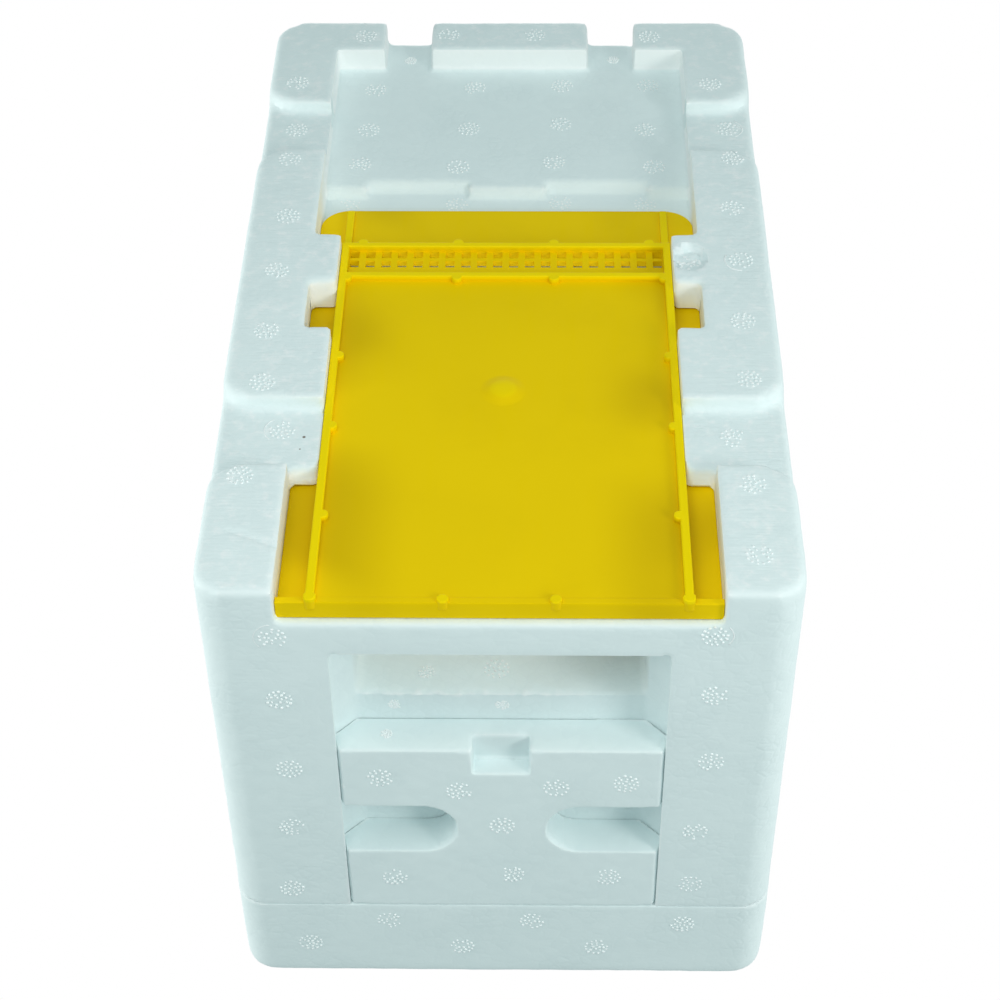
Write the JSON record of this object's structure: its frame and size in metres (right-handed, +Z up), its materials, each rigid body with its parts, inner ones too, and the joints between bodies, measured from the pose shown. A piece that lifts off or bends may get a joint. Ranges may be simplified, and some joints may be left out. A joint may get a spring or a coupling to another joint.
{
  "type": "nuc box",
  "caption": "Small foam mating hive standing on its lid, underside up: sliding floor plate with vent grille, sliding door block, lift-off lid, hanging frames and feeder inside.",
  "frame": {"origin": "on the ground under the middle of the box, in the plane of the lid's outer face, on which it stands turned over as pictured", "axes": "+Z up from the lid to the feet (in use this end is down), +Y from the entrance end to the closed end, +X across the box"},
  "size_m": [0.145, 0.247, 0.1545],
  "materials": {
    "polystyrene": "matte",
    "slide_plastic": "satin",
    "feeder_plastic": "satin",
    "clear_sheet": "gloss",
    "frame_wood": "satin",
    "beeswax": "satin",
    "nail_steel": "satin"
  },
  "bodies": {
    "box": {"body_shell": "polystyrene", "feeder_tub": "feeder_plastic", "feeder_excluder": "feeder_plastic", "frame_cover_sheet": "clear_sheet", "feeder_cover_sheet": "clear_sheet", "top_bar_front": "frame_wood", "top_bar_middle": "frame_wood", "top_bar_rear": "frame_wood", "side_bars_front": "frame_wood", "side_bars_middle": "frame_wood", "side_bars_rear": "frame_wood", "bottom_bar_front": "frame_wood", "bottom_bar_middle": "frame_wood", "bottom_bar_rear": "frame_wood", "wax_strip_front": "beeswax", "wax_strip_middle": "beeswax", "wax_strip_rear": "beeswax", "frame_nails": "nail_steel"},
    "lid": {"roof_lid": "polystyrene"},
    "door": {"entrance_door": "polystyrene"},
    "slide": {"floor_slide": "slide_plastic"}
  },
  "joints": [
    {"name": "lid_lift", "type": "slide", "parent": "box", "child": "lid", "axis": [0, 0, -1], "range_m": [0, 0.06]},
    {"name": "door_travel", "type": "slide", "parent": "box", "child": "door", "axis": [0, 0, 1], "range_m": [0, 0.0353]},
    {"name": "floor_slide_pull", "type": "slide", "parent": "box", "child": "slide", "axis": [0, -1, 0], "range_m": [-0.0072, 0.11]}
  ]
}
